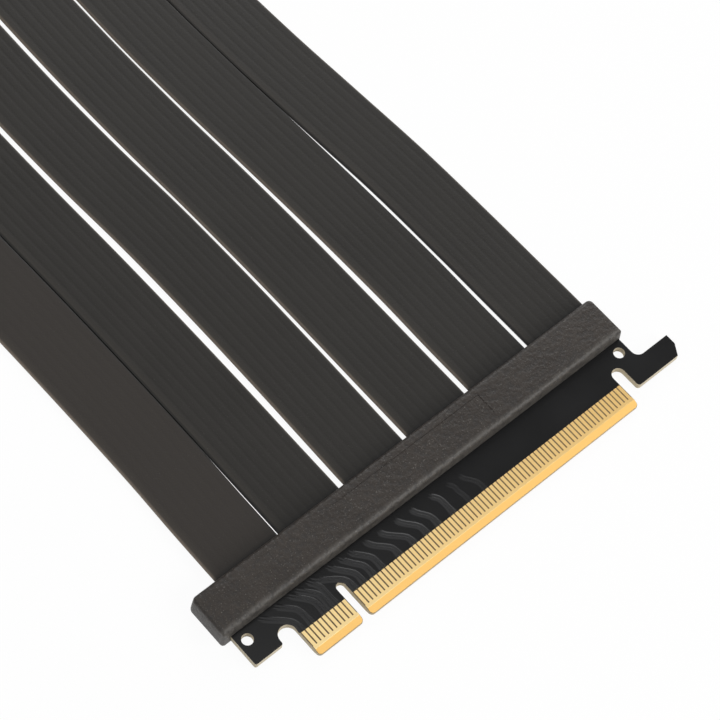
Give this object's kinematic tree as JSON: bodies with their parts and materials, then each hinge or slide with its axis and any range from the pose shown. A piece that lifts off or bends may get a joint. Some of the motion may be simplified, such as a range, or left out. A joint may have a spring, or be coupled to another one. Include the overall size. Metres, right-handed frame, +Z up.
{
  "type": "gpu riser cable",
  "caption": "Flat ribbon riser cable with a moulded bar and card edge plug at one end and a raised card slot on a board at the other",
  "frame": {"origin": "middle of the footprint of the laid-out cable, on the surface that it lies on", "axes": "+Y from the card edge plug along the ribbons to the slot end, +X across the ribbons towards the hook of the card edge, +Z up out of the surface"},
  "size_m": [0.1122, 0.2458, 0.0132],
  "materials": {
    "board_mask": "black solder mask over glass laminate",
    "gold": "satin gold plating",
    "moulding": "matte fine-grained moulded compound",
    "ribbon_jacket": "satin ribbed jacket",
    "slot_plastic": "matte moulded plastic"
  },
  "bodies": {
    "root": {"male_board": "board_mask", "contacts_short_top": "gold", "contacts_long_top": "gold", "contacts_short_under": "gold", "contacts_long_under": "gold", "male_strain_bar": "moulding", "ribbon_1": "ribbon_jacket", "ribbon_2": "ribbon_jacket", "ribbon_3": "ribbon_jacket", "ribbon_4": "ribbon_jacket", "ribbon_5": "ribbon_jacket", "ribbon_6": "ribbon_jacket", "far_strain_bar": "moulding", "far_board": "board_mask", "slot_housing": "slot_plastic"}
  },
  "joints": []
}
